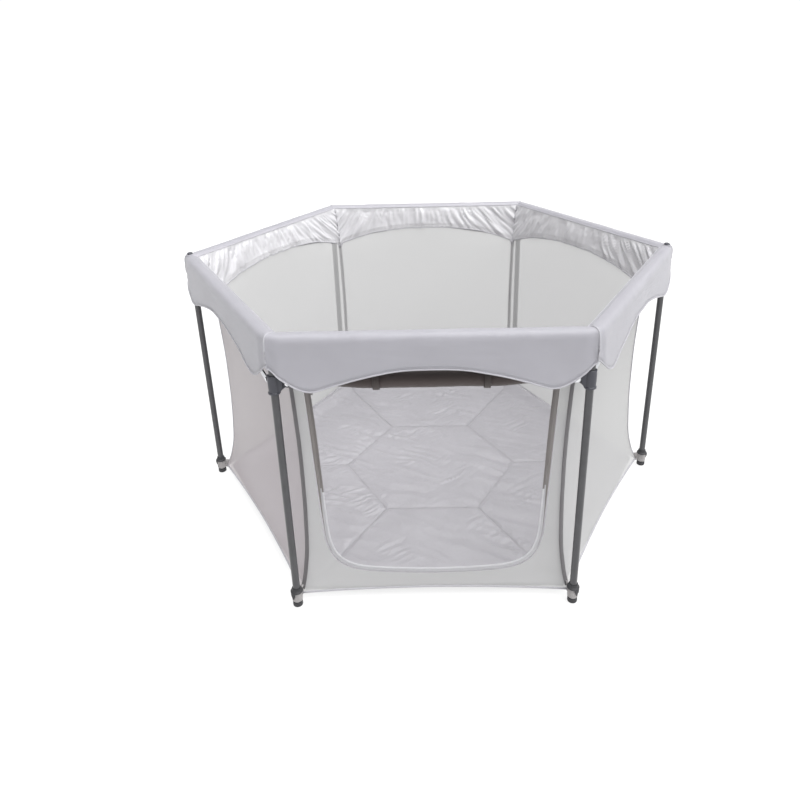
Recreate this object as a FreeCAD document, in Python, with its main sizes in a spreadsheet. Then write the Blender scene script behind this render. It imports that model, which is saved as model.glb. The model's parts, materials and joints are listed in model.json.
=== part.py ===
import FreeCAD, Part
import math
import os
import Sketcher
from FreeCAD import Placement, Rotation, Vector

os.makedirs("parts", exist_ok=True)
doc = FreeCAD.newDocument("playpen")

# Folding hexagonal playpen. Millimetres, +Z up, the middle of the floor at the origin, the door side towards -Y.
# Corners 1..6 run anticlockwise from the front left leg. Side k runs from corner k to corner k + 1.
sheet = doc.addObject("Spreadsheet::Sheet", "dims")
SIZES = [
    ("side_length", 620.0),  # leg axis to leg axis, also the radius of the leg circle
    ("tube_radius", 8.0),
    ("tube_bore", 6.8),
    ("tube_bottom", 3.2),
    ("tube_length", 653.0),
    ("foot_radius", 11.2),
    ("foot_height", 13.5),
    ("socket_radius", 11.5),
    ("hub_bottom", 630.0),
    ("hub_height", 34.0),
    ("hub_bore_top", 657.0),
    ("fixed_bore", 8.05),
    ("running_bore", 8.1),
    ("hub_pivot", 650.0),
    ("slider_pivot", 562.0),
    ("slider_bottom", 541.0),
    ("slider_height", 41.0),
    ("ear_reach", 27.0),  # leg axis to scissor pivot
    ("ear_round", 8.0),
    ("ear_thick", 5.0),
    ("bar_thick", 3.0),
    ("bar_half", 7.0),
    ("bar_gap", 0.3),
    ("pin_radius", 2.5),
    ("pin_seat", 2.51),
    ("pin_hole", 2.55),
    ("open_hole", 2.8),
    ("head_radius", 4.6),
    ("head_thick", 1.5),
    ("spacer_radius", 5.0),
    ("sleeve_radius", 12.1),
    ("sleeve_bore", 8.3),
    ("sleeve_bottom", 14.0),
    ("sleeve_height", 25.0),
    ("roll_radius", 20.0),
    ("roll_half", 228.0),
    ("roll_inset", 31.0),
    ("roll_level", 553.0),
    ("tie_width", 14.0),
    ("pull_pin", 1.0),
    ("pull_hole", 1.05),
]
D = dict(SIZES)
for row, (alias, value) in enumerate(SIZES, 1):
    sheet.set("A%d" % row, alias)
    sheet.set("B%d" % row, "%g" % value)
    sheet.setAlias("B%d" % row, alias)
doc.recompute()

HALF = D["side_length"] / 2
APOTHEM = D["side_length"] * math.cos(math.pi / 6)
SPAN = D["side_length"] - 2 * D["ear_reach"]
DROP = D["hub_pivot"] - D["slider_pivot"]
BAR = math.hypot(SPAN, DROP)
LEAN = math.degrees(math.atan2(DROP, SPAN))
sheet.set("A60", "bar_length")
sheet.set("B60", "%.9g" % BAR)
sheet.setAlias("B60", "bar_length")
doc.recompute()

UP = Vector(0, 0, 1)
CORNER_DEG = [240, 300, 0, 60, 120, 180]


def corner_frame(k):
    """x away from the middle, y anticlockwise, z up, origin under leg k."""
    a = CORNER_DEG[(k - 1) % 6]
    spin = Rotation(UP, a)
    return Placement(spin.multVec(Vector(D["side_length"], 0, 0)), spin)


def side_frame(k):
    """x along the side towards corner k + 1, y inwards, z up, origin under the middle of the side."""
    spin = Rotation(UP, 60 * (k - 1))
    return Placement(spin.multVec(Vector(0, -APOTHEM, 0)), spin)


def origin_plane(body, role):
    for f in body.Origin.OriginFeatures:
        if getattr(f, "Role", "") == role:
            return f
    raise RuntimeError(role)


def origin_axis(body, role):
    for f in body.Origin.OriginFeatures:
        if getattr(f, "Role", "") == role:
            return f
    raise RuntimeError(role)


def body_sketch(body, name, role, offset=0.0):
    sk = body.newObject("Sketcher::SketchObject", name)
    sk.AttachmentSupport = [(origin_plane(body, role), "")]
    sk.MapMode = "FlatFace"
    if offset:
        sk.AttachmentOffset = Placement(Vector(0, 0, offset), Rotation())
    return sk


def circle(sk, x, y, radius, alias=None):
    g = sk.addGeometry(Part.Circle(Vector(x, y, 0), UP, radius), False)
    if abs(x) < 1e-9 and abs(y) < 1e-9:
        sk.addConstraint(Sketcher.Constraint("Coincident", g, 3, -1, 1))
    c = sk.addConstraint(Sketcher.Constraint("Radius", g, radius))
    if alias:
        sk.setExpression("Constraints[%d]" % c, "dims." + alias)
    return g


def polygon(sk, points):
    n = len(points)
    first = None
    for i in range(n):
        a, b = points[i], points[(i + 1) % n]
        g = sk.addGeometry(
            Part.LineSegment(Vector(a[0], a[1], 0), Vector(b[0], b[1], 0)), False
        )
        if first is None:
            first = g
        else:
            sk.addConstraint(Sketcher.Constraint("Coincident", g - 1, 2, g, 1))
    sk.addConstraint(Sketcher.Constraint("Coincident", first + n - 1, 2, first, 1))
    return first


def compound(label, links):
    c = doc.addObject("Part::Compound", label)
    c.Label = label
    c.Links = links
    return c


def cylinder(name, radius, height, where, spin=None):
    c = doc.addObject("Part::Cylinder", name)
    c.setExpression("Radius", radius)
    c.setExpression("Height", height)
    c.Placement = Placement(where, spin or Rotation())
    return c


def fuse(name, parts):
    f = doc.addObject("Part::MultiFuse", name)
    f.Shapes = parts
    return f


def cut(name, base, tool):
    c = doc.addObject("Part::Cut", name)
    c.Base, c.Tool = base, tool
    return c


def common(name, parts):
    c = doc.addObject("Part::MultiCommon", name)
    c.Shapes = parts
    return c


def prism(name, points, plane, start, end):
    """A straight prism on a flat polygon: plane 'yz' runs along x, 'xz' along y, 'xy' along z."""
    sk = doc.addObject("Sketcher::SketchObject", name + "_outline")
    if plane == "yz":
        turn = Rotation(Vector(0, 1, 0), Vector(0, 0, 1), Vector(1, 0, 0), "XYZ")
        way = Vector(1, 0, 0)
    elif plane == "xz":
        turn = Rotation(Vector(1, 0, 0), Vector(0, 0, 1), Vector(0, -1, 0), "XYZ")
        way = Vector(0, 1, 0)
    else:
        turn, way = Rotation(), Vector(0, 0, 1)
    sk.Placement = Placement(way * start, turn)
    polygon(sk, points)
    e = doc.addObject("Part::Extrusion", name)
    e.Base = sk
    e.DirMode = "Custom"
    e.Dir = way
    e.LengthFwd = end - start
    e.LengthRev = 0
    e.Solid = True
    return e


def smooth(points, per=6):
    """Catmull-Rom points through the given ones."""
    out = []
    n = len(points)
    for i in range(n - 1):
        p0, p1 = points[max(i - 1, 0)], points[i]
        p2, p3 = points[i + 1], points[min(i + 2, n - 1)]
        for j in range(per):
            t = j / per
            out.append(
                tuple(
                    0.5
                    * (
                        2 * b
                        + (c - a) * t
                        + (2 * a - 5 * b + 4 * c - d) * t * t
                        + (3 * b - a - 3 * c + d) * t**3
                    )
                    for a, b, c, d in zip(p0, p1, p2, p3)
                )
            )
    out.append(tuple(points[-1]))
    return out


def band(points, thick):
    """A closed outline that follows a line of points, thick wide."""
    left, right = [], []
    for i, (y, z) in enumerate(points):
        a = points[max(i - 1, 0)]
        b = points[min(i + 1, len(points) - 1)]
        dy, dz = b[0] - a[0], b[1] - a[1]
        size = math.hypot(dy, dz)
        ny, nz = -dz / size * thick / 2, dy / size * thick / 2
        left.append((y + ny, z + nz))
        right.append((y - ny, z - nz))
    return left + right[::-1]


# ---------------------------------------------------------------- hard parts


def leg(k):
    body = doc.addObject("PartDesign::Body", "leg_%d" % k)
    body.Label = "leg_%d" % k
    sk = body_sketch(body, "leg_ring_%d" % k, "XY_Plane", D["tube_bottom"])
    circle(sk, 0, 0, D["tube_radius"], "tube_radius")
    circle(sk, 0, 0, D["tube_bore"], "tube_bore")
    pad = body.newObject("PartDesign::Pad", "leg_pad_%d" % k)
    pad.Profile = sk
    pad.setExpression("Length", "dims.tube_length")
    body.Tip = pad
    body.Placement = corner_frame(k)
    return body


def revolved(name, points):
    body = doc.addObject("PartDesign::Body", name)
    sk = body_sketch(body, name + "_profile", "XZ_Plane")
    polygon(sk, points)
    rev = body.newObject("PartDesign::Revolution", name + "_turn")
    rev.Profile = sk
    rev.ReferenceAxis = (origin_axis(body, "Z_Axis"), [""])
    rev.Angle = 360
    body.Tip = rev
    return body


def foot(k):
    r, top = D["foot_radius"], D["foot_height"]
    tip = revolved(
        "foot_tip_%d" % k,
        [
            (0, 0),
            (r - 2.2, 0),
            (r - 0.6, 1.2),
            (r, 3.2),
            (r - 0.3, top - 2.0),
            (r - 1.6, top),
            (D["fixed_bore"], top),
            (D["fixed_bore"], 3.1),
            (0, 3.1),
        ],
    )
    tip.Placement = corner_frame(k)
    # the collar above the fabric sleeve flares out over it and ends in a pointed tab on the outside
    collar = revolved(
        "foot_collar_%d" % k,
        [
            (D["fixed_bore"], 39.5),
            (14.0, 39.5),
            (14.0, 41.0),
            (10.8, 44.5),
            (10.2, 49.5),
            (D["fixed_bore"], 49.5),
        ],
    )
    tab = body_sketch(collar, "collar_tab_outline_%d" % k, "YZ_Plane", 12.5)
    polygon(tab, [(-5.6, 40.8), (-5.0, 33.0), (0.0, 23.0), (5.0, 33.0), (5.6, 40.8)])
    pad = collar.newObject("PartDesign::Pad", "collar_tab_%d" % k)
    pad.Profile = tab
    pad.Length = 1.4
    collar.Tip = pad
    collar.Placement = corner_frame(k)
    return compound("foot_%d" % k, [tip, collar])


def ear(name, way, level):
    """A tab that points from the leg axis towards a neighbour, braced below and rounded at its end; way is its heading in degrees."""
    spin = Rotation(UP, way)
    half = D["ear_thick"] / 2
    web = prism(
        name + "_web",
        [
            (6, level - 18),
            (12.5, level - 16),
            (23.2, level - 7.0),
            (D["ear_reach"], level - D["ear_round"]),
            (D["ear_reach"], level + D["ear_round"]),
            (6, level + D["ear_round"]),
        ],
        "xz", -half, half,
    )
    # the thick root, which fills the angle between the socket and the ends of the bars
    root = prism(
        name + "_root",
        [(5, level - 19), (11.5, level - 18), (18.2, level - 9), (18.2, level + 12), (5, level + 15)],
        "xz", -6.4, 6.4,
    )
    end = cylinder(
        name + "_end",
        "dims.ear_round",
        "dims.ear_thick",
        Vector(D["ear_reach"], -half, level),
        Rotation(Vector(1, 0, 0), -90),
    )
    tab = fuse(name, [web, root, end])
    tab.Placement = Placement(Vector(), spin)
    hole = cylinder(
        name + "_hole",
        "dims.pin_seat",
        "dims.ear_thick + 2",
        spin.multVec(Vector(D["ear_reach"], -half - 1, 0)) + Vector(0, 0, level),
        spin.multiply(Rotation(Vector(1, 0, 0), -90)),
    )
    return tab, hole


def rivet(name, frame, x, level, bar_side):
    """A rivet through an ear and the bar beside it. bar_side is -1 for the outer face, +1 for the inner."""
    back = D["ear_thick"] / 2
    front = back + 2 * D["bar_gap"] + D["bar_thick"]
    head = D["head_thick"]
    # along y, from the ear's free face to the far face of the bar
    a, b = (-back, front) if bar_side > 0 else (-front, back)
    lie = Rotation(Vector(1, 0, 0), -90)
    shank = cylinder(
        name + "_shank",
        "dims.pin_radius",
        "dims.ear_thick + 2 * dims.bar_gap + dims.bar_thick",
        Vector(x, a, level),
        lie,
    )
    one = cylinder(
        name + "_head", "dims.head_radius", "dims.head_thick", Vector(x, b, level), lie
    )
    two = cylinder(
        name + "_tail",
        "dims.head_radius",
        "dims.head_thick",
        Vector(x, a - head, level),
        lie,
    )
    f = fuse(name, [shank, one, two])
    f.Placement = frame
    return f


def socket(kind, k, level, bottom, height, bore, bore_top):
    name = "%s_%d" % (kind, k)
    r, top = D["socket_radius"], bottom + height
    barrel = revolved(
        name + "_barrel",
        [
            (0, bottom),
            (r + 0.2, bottom),
            (r + 1.0, bottom + 0.9),
            (r + 1.0, bottom + 3.6),
            (r - 0.5, bottom + 5.4),
            (r, bottom + 16),
            (r, top - 2.0),
            (r - 1.6, top),
            (0, top),
        ],
    )
    tab_a, hole_a = ear(name + "_ear_on", 120, level)
    tab_b, hole_b = ear(name + "_ear_back", -120, level)
    shell = fuse(name + "_shell", [barrel, tab_a, tab_b])
    inside = cylinder(name + "_bore", bore, bore_top, Vector(0, 0, bottom - 1))
    body = cut(name + "_moulding", shell, fuse(name + "_voids", [inside, hole_a, hole_b]))
    body.Placement = corner_frame(k)
    return body


def hub(k):
    body = socket(
        "hub",
        k,
        D["hub_pivot"],
        D["hub_bottom"],
        D["hub_height"],
        "dims.fixed_bore",
        "dims.hub_bore_top - dims.hub_bottom + 1",
    )
    before = k - 1 or 6
    on = rivet("hub_rivet_on_%d" % k, side_frame(k), -HALF + D["ear_reach"], D["hub_pivot"], -1)
    back = rivet("hub_rivet_back_%d" % k, side_frame(before), HALF - D["ear_reach"], D["hub_pivot"], 1)
    return compound("hub_%d" % k, [body, on, back])


def slider(k):
    body = socket(
        "slider",
        k,
        D["slider_pivot"],
        D["slider_bottom"],
        D["slider_height"],
        "dims.running_bore",
        "dims.slider_height + 2",
    )
    before = k - 1 or 6
    on = rivet("slider_rivet_on_%d" % k, side_frame(k), -HALF + D["ear_reach"], D["slider_pivot"], 1)
    back = rivet("slider_rivet_back_%d" % k, side_frame(before), HALF - D["ear_reach"], D["slider_pivot"], -1)
    return compound("slider_%d" % k, [body, on, back])


def bar(name, k, inner, middle_alias):
    """A flat scissor bar. The outer bar falls towards corner k + 1, the inner bar towards corner k."""
    body = doc.addObject("PartDesign::Body", name)
    sk = body_sketch(body, name + "_slot", "XZ_Plane")
    r = D["bar_half"]
    q = math.pi / 2
    sk.addGeometry(
        [
            Part.ArcOfCircle(Part.Circle(Vector(0, 0, 0), UP, r), q, 3 * q),
            Part.LineSegment(Vector(0, -r, 0), Vector(BAR, -r, 0)),
            Part.ArcOfCircle(Part.Circle(Vector(BAR, 0, 0), UP, r), -q, q),
            Part.LineSegment(Vector(BAR, r, 0), Vector(0, r, 0)),
        ],
        False,
    )
    for c in (
        Sketcher.Constraint("Coincident", 0, 3, -1, 1),
        Sketcher.Constraint("Tangent", 0, 2, 1, 1),
        Sketcher.Constraint("Tangent", 1, 2, 2, 1),
        Sketcher.Constraint("Tangent", 2, 2, 3, 1),
        Sketcher.Constraint("Tangent", 3, 2, 0, 1),
        Sketcher.Constraint("PointOnObject", 2, 3, -1),
    ):
        sk.addConstraint(c)
    c = sk.addConstraint(Sketcher.Constraint("Radius", 0, r))
    sk.setExpression("Constraints[%d]" % c, "dims.bar_half")
    c = sk.addConstraint(Sketcher.Constraint("DistanceX", 0, 3, 2, 3, BAR))
    sk.setExpression("Constraints[%d]" % c, "dims.bar_length")
    circle(sk, 0, 0, D["pin_hole"], "pin_hole")
    g = circle(sk, BAR, 0, D["pin_hole"], "pin_hole")
    sk.addConstraint(Sketcher.Constraint("Coincident", g, 3, 2, 3))
    g = circle(sk, BAR / 2, 0, D[middle_alias], middle_alias)
    sk.addConstraint(Sketcher.Constraint("PointOnObject", g, 3, -1))
    c = sk.addConstraint(Sketcher.Constraint("DistanceX", 0, 3, g, 3, BAR / 2))
    sk.setExpression("Constraints[%d]" % c, "dims.bar_length / 2")
    pad = body.newObject("PartDesign::Pad", name + "_pad")
    pad.Profile = sk
    pad.setExpression("Length", "dims.bar_thick")
    body.Tip = pad
    face = D["ear_thick"] / 2 + D["bar_gap"]
    if inner:
        local = Placement(
            Vector(-HALF + D["ear_reach"], face + D["bar_thick"], D["slider_pivot"]),
            Rotation(Vector(0, 1, 0), -LEAN),
        )
    else:
        local = Placement(
            Vector(-HALF + D["ear_reach"], -face, D["hub_pivot"]),
            Rotation(Vector(0, 1, 0), LEAN),
        )
    body.Placement = side_frame(k).multiply(local)
    return body


def bars(k):
    level = (D["hub_pivot"] + D["slider_pivot"]) / 2
    outer = bar("bar_outer_%d" % k, k, False, "pin_seat")
    inner = bar("bar_b_%d" % k, k, True, "open_hole" if k == 4 else "pin_hole")
    inner.Label = "bar_b_%d" % k
    lie = Rotation(Vector(1, 0, 0), -90)
    face = D["ear_thick"] / 2 + D["bar_gap"]
    full = face + D["bar_thick"]
    shank = cylinder(
        "middle_shank_%d" % k,
        "dims.pin_radius",
        "dims.ear_thick + 3 * dims.bar_gap + 2 * dims.bar_thick",
        Vector(0, -full, level),
        lie,
    )
    head = cylinder(
        "middle_head_%d" % k,
        "dims.head_radius",
        "dims.head_thick",
        Vector(0, -full - D["head_thick"], level),
        lie,
    )
    tail = cylinder(
        "middle_tail_%d" % k,
        "dims.head_radius",
        "dims.head_thick",
        Vector(0, full + D["bar_gap"], level),
        lie,
    )
    pin = fuse("middle_rivet_%d" % k, [shank, head, tail])
    pin.Placement = side_frame(k)
    ring = cylinder(
        "spacer_body_%d" % k,
        "dims.spacer_radius",
        "dims.ear_thick + dims.bar_gap",
        Vector(0, -face, level),
        lie,
    )
    hole = cylinder(
        "spacer_hole_%d" % k,
        "dims.pin_seat",
        "dims.ear_thick + 4",
        Vector(0, -face - 1, level),
        lie,
    )
    spacer = cut("spacer_%d" % k, ring, hole)
    spacer.Placement = side_frame(k)
    return compound("bar_a_%d" % k, [outer, pin, spacer]), inner


# ---------------------------------------------------------------- soft parts

# lower edge of the outer skirt and hem of the inner skirt, from the middle of a side to its end
OUTER_EDGE = [(0, 596), (60, 594), (120, 583), (187, 566), (232, 555), (262, 562), (290, 580), (312, 597), (340, 600)]
INNER_EDGE = [(0, 598), (66, 597), (120, 592), (175, 584), (230, 569), (281, 552), (310, 541), (340, 530)]


def both_ways(points):
    curve = smooth(points, 3)
    return [(-x, z) for x, z in curve[:0:-1]] + curve


def mitre(name, clearance):
    """The plan of one side, between the planes that halve the two corners."""
    out = 60.0
    wide = HALF + out * math.tan(math.pi / 6) - clearance / math.cos(math.pi / 6)
    tip = APOTHEM - clearance / math.sin(math.pi / 6)
    return prism(name, [(-wide, -out), (wide, -out), (0, tip)], "xy", -10, 700)


RIM_SECTION = [
    (-24.0, 520), (-19.0, 628), (-18.0, 655), (-14.5, 666.2), (-6, 670), (6, 670), (14.5, 666.2), (18.0, 655),
    (19.0, 640), (28.0, 600), (45.0, 526),
    (43.2, 525.6), (26.3, 599.6), (17.3, 639.8), (16.3, 655), (13.2, 664.6), (5.5, 668.2), (-5.5, 668.2),
    (-13.2, 664.6), (-16.3, 655), (-17.3, 628), (-22.2, 520),
]


def rim(k):
    section = prism("rim_section_%d" % k, RIM_SECTION, "yz", -345, 345)
    plan = mitre("rim_plan_%d" % k, 0.25)
    blank = common("rim_blank_%d" % k, [section, plan])
    outer = prism(
        "rim_outer_cut_%d" % k,
        both_ways(OUTER_EDGE) + [(340, 500), (-340, 500)],
        "xz", -40, 0,
    )
    inner = prism(
        "rim_inner_cut_%d" % k,
        both_ways(INNER_EDGE) + [(340, 500), (-340, 500)],
        "xz", 0, 70,
    )
    r = cut("rim_%d" % k, blank, fuse("rim_cuts_%d" % k, [outer, inner]))
    r.Label = "rim_%d" % k
    r.Placement = side_frame(k)
    return r


WALL_LINE = [(27.0, 601), (39.7, 546), (45.5, 480), (50, 380), (51, 280), (48, 190), (43, 115), (33.5, 66), (24, 30)]
DOOR = [(-250, 640), (-249, 520), (-245, 450), (-240, 300), (-236, 200), (-229, 138), (-208, 98), (-170, 77), (-100, 69), (0, 66)]


def door_outline(grow):
    """The U of the door, grown outwards, closed above the wall."""
    curve = smooth(DOOR, 4)
    curve = curve + [(-x, z) for x, z in curve[-2::-1]]
    out = []
    for i, (x, z) in enumerate(curve):
        a, b = curve[max(i - 1, 0)], curve[min(i + 1, len(curve) - 1)]
        dx, dz = b[0] - a[0], b[1] - a[1]
        size = math.hypot(dx, dz)
        out.append((x + dz / size * grow, z - dx / size * grow))
    return out


def wall_blank(name):
    section = prism(name + "_section", band(smooth(WALL_LINE, 3), 2.4), "yz", -345, 345)
    plan = mitre(name + "_plan", 0.25)
    below = prism(
        name + "_below",
        [(x, z - 0.8) for x, z in both_ways(INNER_EDGE)] + [(340, 0), (-340, 0)],
        "xz", -20, 90,
    )
    return common(name + "_blank", [section, plan, below])


def sleeve(k):
    ring = cylinder(
        "sleeve_ring_%d" % k,
        "dims.sleeve_radius",
        "dims.sleeve_height",
        Vector(0, 0, D["sleeve_bottom"]),
    )
    hole = cylinder(
        "sleeve_hole_%d" % k,
        "dims.sleeve_bore",
        "dims.sleeve_height + 2",
        Vector(0, 0, D["sleeve_bottom"] - 1),
    )
    s = cut("sleeve_%d" % k, ring, hole)
    s.Placement = corner_frame(k)
    return s


def wall(k):
    blank = wall_blank("wall_cloth_%d" % k)
    if k == 1:
        hole = prism("door_hole", door_outline(12.0), "xz", -20, 90)
        blank = cut("wall_cloth_open", blank, hole)
    blank.Placement = side_frame(k)
    return compound("wall_%d" % k, [blank, sleeve(k)])


def zip_tape():
    blank = wall_blank("zip_tape_cloth")
    outside = prism("zip_tape_outside", door_outline(11.8), "xz", -20, 90)
    inside = prism("zip_tape_inside", door_outline(0.0), "xz", -21, 91)
    t = cut("zip_tape", common("zip_tape_area", [blank, outside]), inside)
    t.Label = "zip_tape"
    t.Placement = side_frame(1)
    return t


def along_x(name, radius, height, x, y, z):
    return cylinder(name, radius, height, Vector(x, y, z), Rotation(Vector(0, 1, 0), 90))


def door_roll():
    r, w = D["roll_radius"], D["roll_half"]
    body = revolved(
        "door_roll",
        [
            (0, -w), (9.5, -w), (11.0, -w + 3), (16.0, -w + 43), (r, -w + 93),
            (r, w - 93), (16.0, w - 43), (11.0, w - 3), (9.5, w), (0, w),
        ],
    )
    body.Label = "door_roll"
    body.Placement = side_frame(1).multiply(
        Placement(Vector(0, D["roll_inset"], D["roll_level"]), Rotation(Vector(0, 1, 0), 90))
    )
    return body


def roll_ties():
    ties = []
    for n, x in enumerate((-118.0, 104.0)):
        ring = along_x("tie_ring_%d" % n, "dims.roll_radius + 1.9", "dims.tie_width", x, D["roll_inset"], D["roll_level"])
        strap = doc.addObject("Part::Box", "tie_strap_%d" % n)
        strap.setExpression("Length", "dims.tie_width")
        strap.Width = 2.0
        strap.Height = 38.0
        strap.Placement = Placement(Vector(x, 28.0, 553.0), Rotation())
        hole = along_x("tie_hole_%d" % n, "dims.roll_radius + 0.3", "dims.tie_width + 4", x - 2, D["roll_inset"], D["roll_level"])
        t = cut("tie_%d" % n, fuse("tie_solid_%d" % n, [ring, strap]), hole)
        t.Placement = side_frame(1)
        ties.append(t)
    return compound("roll_ties", ties)


PULL = (-243.5, 33.2, 541.0)  # the pull tab's pin, in the front side's frame


def zip_slider():
    x, y, z = PULL
    block = prism(
        "zip_block",
        [(y + 2.6, z - 7), (y + 3.6, z - 8), (y + 4.6, z - 8), (y + 4.6, z + 7), (y + 3.6, z + 7), (y + 2.6, z + 5)],
        "yz", x - 5, x + 5,
    )
    lug_a = prism("zip_lug_a", [(y - 2, z - 2), (y + 3.0, z - 3), (y + 3.0, z + 3), (y - 2, z + 2)], "yz", x - 4.6, x - 3.0)
    lug_b = prism("zip_lug_b", [(y - 2, z - 2), (y + 3.0, z - 3), (y + 3.0, z + 3), (y - 2, z + 2)], "yz", x + 3.0, x + 4.6)
    pin = along_x("zip_pin", "dims.pull_pin", "9.2", x - 4.6, y, z)
    s = fuse("zip_slider", [block, lug_a, lug_b, pin])
    s.Label = "zip_slider"
    s.Placement = side_frame(1)
    return s


def zip_pull():
    x, y, z = PULL
    plate = prism("pull_plate", [(y - 0.8, z - 23.5), (y + 0.7, z - 23.5), (y + 0.7, z - 1), (y - 0.8, z - 1)], "yz", x - 2.6, x + 2.6)
    eye = along_x("pull_eye", "dims.pull_pin + 1.1", "5.2", x - 2.6, y, z)
    hole = along_x("pull_eye_hole", "dims.pull_hole", "8", x - 4, y, z)
    p = cut("zip_pull", fuse("pull_solid", [plate, eye]), hole)
    p.Label = "zip_pull"
    p.Placement = side_frame(1)
    return p


MAT_SECTION = [(38, 20), (52, 9), (70, 4), (560, 4), (560, 16), (74, 16), (58, 20.5), (38, 33)]


def floor_pad(k):
    section = prism("mat_section_%d" % k, MAT_SECTION, "yz", -345, 345)
    plan = mitre("mat_plan_%d" % k, 0.25)
    f = common("floor_%d" % k, [section, plan])
    f.Label = "floor_%d" % k
    f.Placement = side_frame(k)
    return f


nodes = []
for k in range(1, 7):
    nodes += [leg(k), foot(k), hub(k), slider(k)]
    nodes += list(bars(k))
    nodes += [rim(k), wall(k), floor_pad(k)]
nodes += [zip_tape(), door_roll(), roll_ties(), zip_slider(), zip_pull()]

doc.recompute()

bad = []
for o in doc.Objects:
    if any(s in ("Invalid", "Error") for s in o.State):
        bad.append("%s is %s" % (o.Label, o.State))
for n in nodes:
    if n.Shape.isNull() or not n.Shape.isValid() or not n.Shape.Solids:
        bad.append("%s has no valid solid" % n.Label)
if len({n.Label for n in nodes}) != len(nodes) or len(nodes) > 60:
    bad.append("%d nodes, some with the same name" % len(nodes))
if bad:
    raise RuntimeError("; ".join(bad[:12]))

for n in nodes:
    n.Shape.exportStep("parts/%s.step" % n.Label)
    print(n.Label, len(n.Shape.Solids), round(sum(s.Volume for s in n.Shape.Solids), 1))
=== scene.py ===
import json
import math

import bpy
import numpy as np
from mathutils import Matrix, Vector, noise


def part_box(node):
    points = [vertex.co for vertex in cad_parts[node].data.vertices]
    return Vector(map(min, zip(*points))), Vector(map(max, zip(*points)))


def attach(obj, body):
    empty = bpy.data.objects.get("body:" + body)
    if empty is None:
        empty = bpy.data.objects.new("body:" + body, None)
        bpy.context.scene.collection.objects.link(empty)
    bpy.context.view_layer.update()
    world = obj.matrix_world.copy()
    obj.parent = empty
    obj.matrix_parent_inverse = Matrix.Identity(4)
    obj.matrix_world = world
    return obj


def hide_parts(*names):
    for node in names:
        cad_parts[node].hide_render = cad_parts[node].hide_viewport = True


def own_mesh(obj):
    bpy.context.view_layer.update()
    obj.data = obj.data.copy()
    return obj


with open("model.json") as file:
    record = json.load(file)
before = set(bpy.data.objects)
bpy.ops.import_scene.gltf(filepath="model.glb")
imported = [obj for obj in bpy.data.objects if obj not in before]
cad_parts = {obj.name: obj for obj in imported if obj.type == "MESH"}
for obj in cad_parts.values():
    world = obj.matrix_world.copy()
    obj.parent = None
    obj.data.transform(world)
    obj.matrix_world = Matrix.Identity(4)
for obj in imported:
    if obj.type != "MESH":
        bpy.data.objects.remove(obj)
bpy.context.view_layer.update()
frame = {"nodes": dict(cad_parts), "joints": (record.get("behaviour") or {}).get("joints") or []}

MM = 0.001
T30 = math.tan(math.pi / 6)
C30 = math.cos(math.pi / 6)

# ------------------------------------------------------------------ places, from the frame

CORNER = []
for k in range(1, 7):
    lo, hi = (Vector(c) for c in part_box("leg_%d" % k))
    CORNER.append(Vector(((lo.x + hi.x) / 2, (lo.y + hi.y) / 2, 0)) / MM)
SIDE = (CORNER[1] - CORNER[0]).length
HALF = SIDE / 2
APOTHEM = SIDE * C30
FOLD = next(j for j in frame["joints"] if j["name"] == "fold")
EAR = HALF - abs(FOLD["pos_m"][0]) / MM
TOP_PIVOT = FOLD["pos_m"][2] / MM
SPAN = SIDE - 2 * EAR
LOW_PIVOT = next(j for j in frame["joints"] if j["name"] == "low_a_1")["pos_m"][2] / MM
BAR = math.hypot(SPAN, TOP_PIVOT - LOW_PIVOT)
LEAN = math.atan2(TOP_PIVOT - LOW_PIVOT, SPAN)
FOLDED = 2 * EAR + BAR * math.cos(LEAN + math.radians(FOLD["range_deg"][1]))
KEEP = FOLDED / SIDE


def side_axes(k):
    a, b = CORNER[k - 1], CORNER[k % 6]
    t = (b - a).normalized()
    return (a + b) / 2, t, Vector((-t.y, t.x, 0))


def on_side(k, x, y, z):
    """Millimetres along side k from its middle, inwards from the line between its legs, and up, to metres."""
    m, t, n = side_axes(k)
    p = m + t * x + n * y
    return (p.x * MM, p.y * MM, z * MM)


def at_corner(k, r, s, z):
    """Millimetres outwards from leg k's axis, anticlockwise, and up, to metres."""
    c = CORNER[k - 1]
    o = c.normalized()
    p = c + o * r + Vector((-o.y, o.x, 0)) * s
    return (p.x * MM, p.y * MM, z * MM)


# ------------------------------------------------------------------ small maths


def smooth(points, per=8):
    out = []
    n = len(points)
    for i in range(n - 1):
        p0, p1 = points[max(i - 1, 0)], points[i]
        p2, p3 = points[i + 1], points[min(i + 2, n - 1)]
        for j in range(per):
            t = j / per
            out.append(
                tuple(
                    0.5
                    * (
                        2 * b
                        + (c - a) * t
                        + (2 * a - 5 * b + 4 * c - d) * t * t
                        + (3 * b - a - 3 * c + d) * t**3
                    )
                    for a, b, c, d in zip(p0, p1, p2, p3)
                )
            )
    out.append(tuple(points[-1]))
    return out


def table(points, per=8):
    pts = np.array(smooth(points, per))
    order = np.argsort(pts[:, 0])
    xs, ys = pts[order, 0], pts[order, 1]
    return lambda x: float(np.interp(x, xs, ys))


def step(a, b, x):
    t = min(1.0, max(0.0, (x - a) / (b - a)))
    return t * t * (3 - 2 * t)


def bell(x, w):
    return math.exp(-((x / w) ** 2))


def n3(x, y, z=0.0):
    return noise.noise(Vector((x, y, z)))


def resample(points, step_mm):
    """A line of points at even steps."""
    p = np.array(points, float)
    d = np.r_[0, np.cumsum(np.linalg.norm(np.diff(p, axis=0), axis=1))]
    n = max(2, int(round(d[-1] / step_mm)) + 1)
    s = np.linspace(0, d[-1], n)
    return np.stack([np.interp(s, d, p[:, i]) for i in range(p.shape[1])], 1)


# ------------------------------------------------------------------ materials


def links(tree, a, out, b, into):
    tree.links.new(a.outputs[out], b.inputs[into])


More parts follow.
